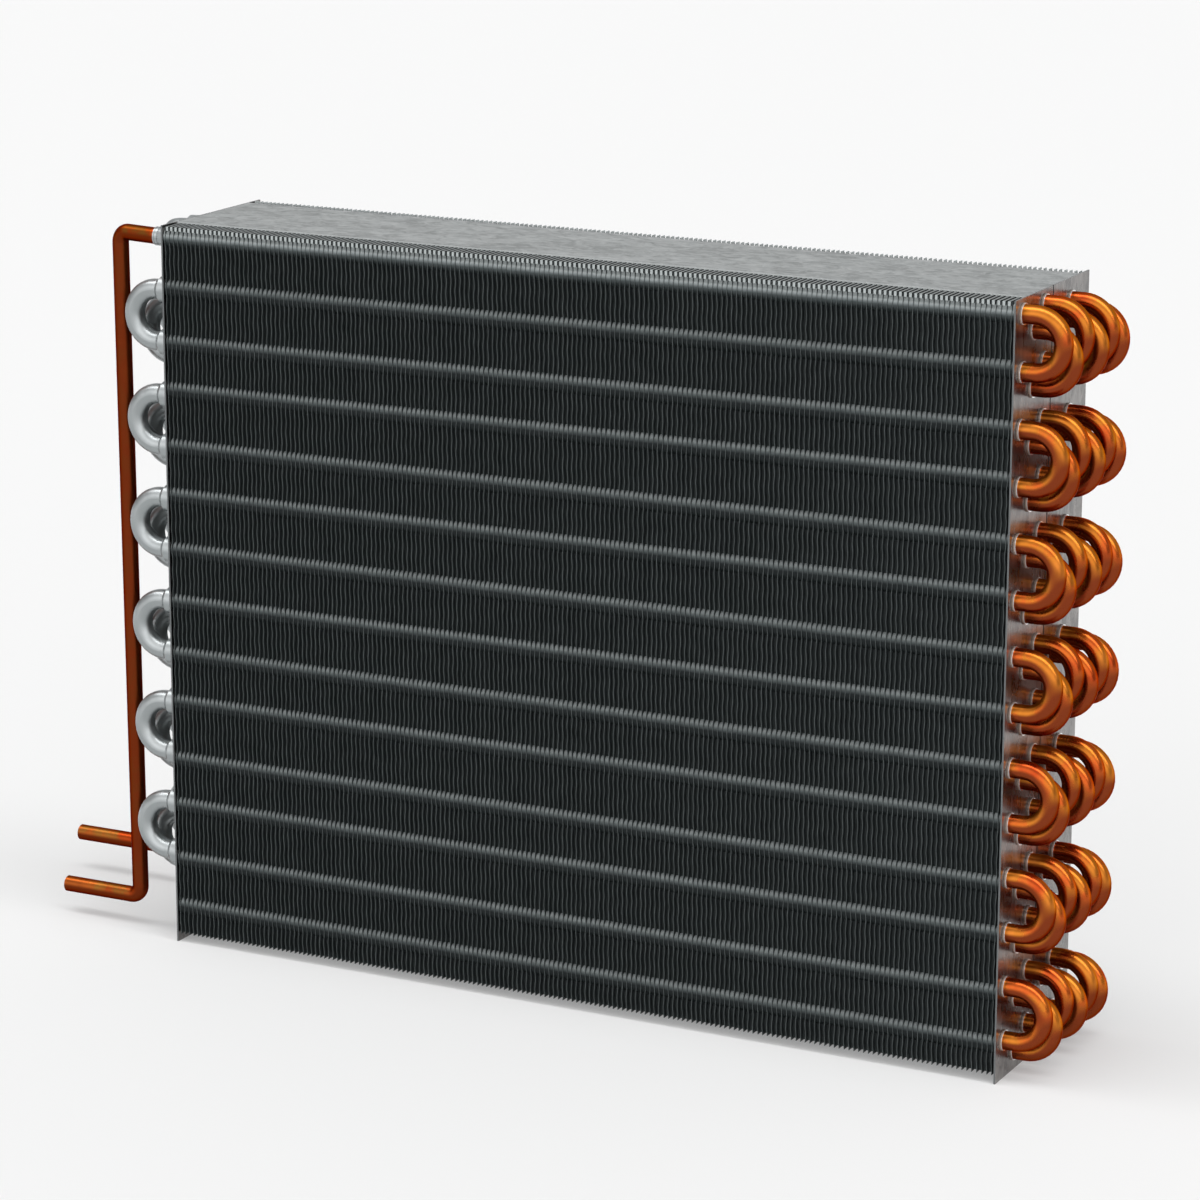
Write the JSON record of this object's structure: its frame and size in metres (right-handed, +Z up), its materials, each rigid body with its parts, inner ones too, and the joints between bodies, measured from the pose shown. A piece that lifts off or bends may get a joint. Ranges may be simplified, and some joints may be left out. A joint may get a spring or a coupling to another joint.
{
  "type": "evaporator coil",
  "caption": "Finned evaporator coil with black fins, copper hairpin bends, grey return bends, bare metal end plates and two copper pipe ends.",
  "frame": {"origin": "middle of the whole object's footprint, on the surface that it stands on", "axes": "+X along the tubes towards the hairpin bends, +Y from the front face to the back, +Z up"},
  "size_m": [0.5631, 0.0888, 0.3554],
  "materials": {
    "fins": "thin black-coated aluminium fins, satin",
    "sheet": "bare mill-finish sheet, slightly stained",
    "copper": "bright copper tube with heat tint",
    "grey_metal": "bare grey metal, satin"
  },
  "bodies": {
    "root": {"front_fin_slab": "fins", "rear_fin_slab": "fins", "front_plate_left": "sheet", "front_plate_right": "sheet", "rear_plate_left": "sheet", "rear_plate_right": "sheet", "top_cover": "sheet", "hairpin_1_1": "copper", "hairpin_1_2": "copper", "hairpin_1_3": "copper", "hairpin_1_4": "copper", "hairpin_1_5": "copper", "hairpin_1_6": "copper", "hairpin_1_7": "copper", "hairpin_2_1": "copper", "hairpin_2_2": "copper", "hairpin_2_3": "copper", "hairpin_2_4": "copper", "hairpin_2_5": "copper", "hairpin_2_6": "copper", "hairpin_2_7": "copper", "hairpin_3_1": "copper", "hairpin_3_2": "copper", "hairpin_3_3": "copper", "hairpin_3_4": "copper", "hairpin_3_5": "copper", "hairpin_3_6": "copper", "hairpin_3_7": "copper", "hairpin_4_1": "copper", "hairpin_4_2": "copper", "hairpin_4_3": "copper", "hairpin_4_4": "copper", "hairpin_4_5": "copper", "hairpin_4_6": "copper", "hairpin_4_7": "copper", "hairpin_5_1": "copper", "hairpin_5_2": "copper", "hairpin_5_3": "copper", "hairpin_5_4": "copper", "hairpin_5_5": "copper", "hairpin_5_6": "copper", "hairpin_5_7": "copper", "hairpin_6_1": "copper", "hairpin_6_2": "copper", "hairpin_6_3": "copper", "hairpin_6_4": "copper", "hairpin_6_5": "copper", "hairpin_6_6": "copper", "hairpin_6_7": "copper", "return_bends_1": "grey_metal", "return_bends_2": "grey_metal", "return_bends_3": "grey_metal", "return_bends_4": "grey_metal", "return_bends_5": "grey_metal", "return_bends_6": "grey_metal", "crossover_bends": "grey_metal", "end_plugs": "copper", "outlet_pipe": "copper", "inlet_pipe": "copper", "pipe_collars": "grey_metal"}
  },
  "joints": []
}
